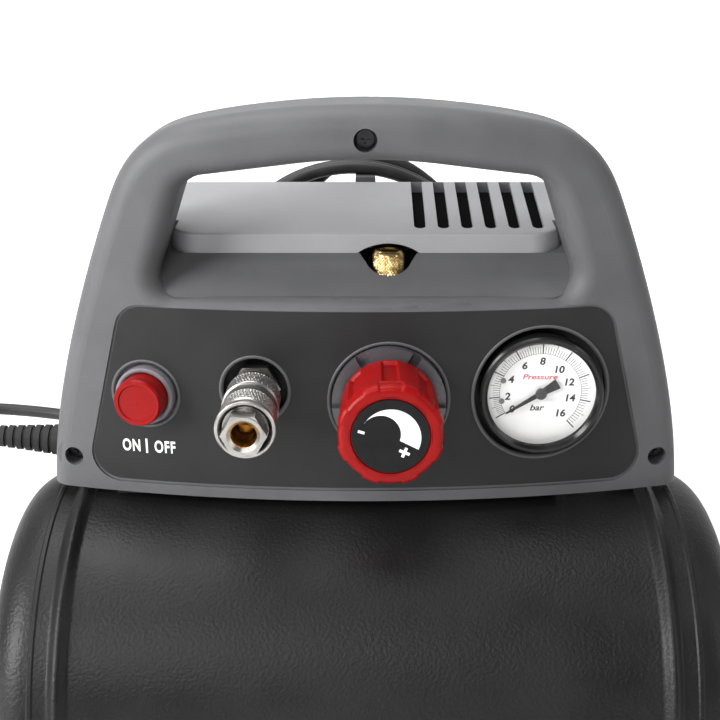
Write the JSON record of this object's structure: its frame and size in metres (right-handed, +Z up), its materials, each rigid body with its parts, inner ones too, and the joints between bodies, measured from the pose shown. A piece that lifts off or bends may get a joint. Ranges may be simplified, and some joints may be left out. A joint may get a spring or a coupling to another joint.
{
  "type": "air compressor",
  "caption": "Portable oil-free air compressor: lying tank on rubber feet, clamshell housing with arch handle, push button, quick coupler, regulator knob and pressure gauge.",
  "frame": {"origin": "on the floor under the middle of the tank, at the bottom centre of the object without its mains lead", "axes": "+X to the right seen from the control panel, along the tank; -Y out of the control panel; +Z up"},
  "size_m": [0.3933, 0.1961, 0.3799],
  "materials": {
    "tank_paint": "black paint with a fine orange-peel texture",
    "bracket_paint": "satin black paint",
    "black_rubber": "matt black rubber",
    "zinc_steel": "dark zinc plated",
    "housing_plastic": "fine grained black plastic",
    "silver_plastic": "silver-grey painted plastic",
    "red_plastic": "satin red plastic",
    "grey_plastic": "mid grey plastic",
    "black_plastic": "gloss black plastic",
    "coupler_steel": "nickel plated steel",
    "brass": "bright turned brass",
    "copper": "drawn copper tube",
    "dial_white": "matt white dial",
    "pointer_black": "black paint",
    "gauge_glass": "clear lens",
    "pump_aluminium": "die-cast aluminium",
    "dark_iron": "dark iron",
    "cord_rubber": "black cable sheath"
  },
  "bodies": {
    "frame": {"tank_shell": "tank_paint", "tank_end_left": "tank_paint", "tank_end_right": "tank_paint", "foot_bracket_left": "bracket_paint", "foot_bracket_right": "bracket_paint", "rubber_feet": "black_rubber", "foot_screws": "zinc_steel", "front_shell": "housing_plastic", "rear_shell": "housing_plastic", "top_cover": "silver_plastic", "control_plate": "bracket_paint", "intake_filter": "black_rubber", "handle_screw": "zinc_steel", "corner_screws": "zinc_steel", "cord_hook": "housing_plastic", "hook_screws": "zinc_steel", "button_collar": "grey_plastic", "pressure_switch": "black_plastic", "coupler_body": "coupler_steel", "coupler_seal": "black_rubber", "regulator_body": "brass", "regulator_collar": "grey_plastic", "gauge_case": "black_plastic", "gauge_dial": "dial_white", "gauge_lens": "gauge_glass", "gauge_bezel": "black_plastic", "safety_valve_body": "brass", "manifold": "brass", "gauge_pipe": "brass", "feed_pipe": "copper", "pump_deck": "bracket_paint", "motor_cradle": "bracket_paint", "motor_housing": "pump_aluminium", "stator_core": "dark_iron", "crankcase": "pump_aluminium", "cylinder": "pump_aluminium", "valve_plate": "dark_iron", "cylinder_head": "pump_aluminium", "head_bolts": "zinc_steel", "delivery_pipe": "copper", "check_valve": "brass", "drain_seat": "brass", "strain_relief": "black_rubber", "cord_lead": "cord_rubber", "cord_coil": "cord_rubber", "cord_tail": "cord_rubber", "plug_body": "black_plastic", "plug_pins": "coupler_steel"},
    "button": {"button_cap": "red_plastic"},
    "sleeve": {"coupler_sleeve": "coupler_steel"},
    "shutoff": {"coupler_valve": "brass"},
    "knob": {"regulator_knob": "red_plastic", "knob_label": "black_plastic"},
    "pointer": {"gauge_pointer": "pointer_black"},
    "relief_cap": {"safety_valve_cap": "brass"},
    "drain": {"drain_knob": "brass"},
    "rotor": {"motor_rotor": "dark_iron", "cooling_fan": "grey_plastic"},
    "piston": {"piston_rod": "pump_aluminium"}
  },
  "joints": [
    {"name": "button_push", "type": "slide", "parent": "frame", "child": "button", "axis": [0.1731, 0.9849, 0], "range_m": [0, 0.004], "stiffness_N_per_m": 400, "springref_m": -0.002},
    {"name": "coupler_sleeve_slide", "type": "slide", "parent": "frame", "child": "sleeve", "axis": [0, 1, 0], "range_m": [0, 0.004], "stiffness_N_per_m": 900, "springref_m": -0.003},
    {"name": "coupler_valve_slide", "type": "slide", "parent": "frame", "child": "shutoff", "axis": [0, 1, 0], "range_m": [0, 0.003], "stiffness_N_per_m": 200, "springref_m": -0.002},
    {"name": "regulator_turn", "type": "hinge", "parent": "frame", "child": "knob", "pos_m": [0.01, -0.048, 0.256], "axis": [0, 1, 0], "range_deg": [0, 270]},
    {"name": "gauge_pointer_turn", "type": "hinge", "parent": "frame", "child": "pointer", "pos_m": [0.0756, -0.0186, 0.2575], "axis": [0, 1, 0], "range_deg": [0, 259], "stiffness_Nm_per_rad": 0.00002, "springref_deg": -11.46},
    {"name": "safety_valve_pull", "type": "slide", "parent": "frame", "child": "relief_cap", "axis": [0, 0, 1], "range_m": [0, 0.0015], "stiffness_N_per_m": 600, "springref_m": -0.002},
    {"name": "drain_turn", "type": "hinge", "parent": "frame", "child": "drain", "pos_m": [0, 0, 0.009], "axis": [0, 0, 1], "range_deg": [0, 360]},
    {"name": "rotor_spin", "type": "hinge", "parent": "frame", "child": "rotor", "pos_m": [0, 0.031, 0.25], "axis": [1, 0, 0], "continuous": true},
    {"name": "piston_slide", "type": "slide", "parent": "frame", "child": "piston", "axis": [0, 0, 1], "range_m": [0, 0.014]}
  ]
}
